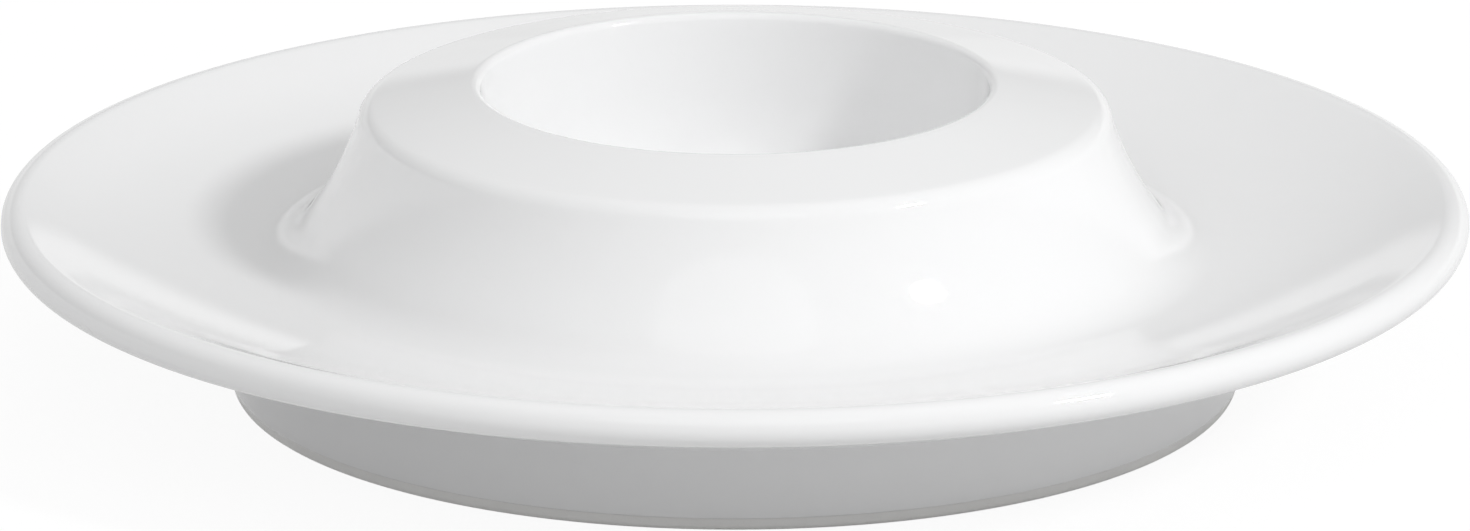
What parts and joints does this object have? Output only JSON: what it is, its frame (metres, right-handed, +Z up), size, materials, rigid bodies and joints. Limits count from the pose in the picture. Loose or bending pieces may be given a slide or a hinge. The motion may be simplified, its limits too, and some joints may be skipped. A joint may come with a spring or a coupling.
{
  "type": "egg cup",
  "caption": "Low white porcelain egg cup standing in the middle of its own saucer, with a broad sloping collar round the egg's well and a plain foot ring.",
  "frame": {"origin": "centre of the foot ring's standing face, on the table", "axes": "+Z up along the axis of revolution, out of the egg well; X and Y alike, as the body is round"},
  "size_m": [0.13, 0.13, 0.0273],
  "materials": {
    "biscuit": "bare fired porcelain, matt, ground smooth at the standing face",
    "glaze": "clear gloss glaze over white porcelain"
  },
  "bodies": {
    "root": {"foot_ring": "biscuit", "saucer": "biscuit", "rolled_rim": "biscuit", "cup_wall": "biscuit", "collar": "biscuit", "egg_well": "biscuit", "outer_glaze": "glaze", "inner_glaze": "glaze"}
  },
  "joints": []
}
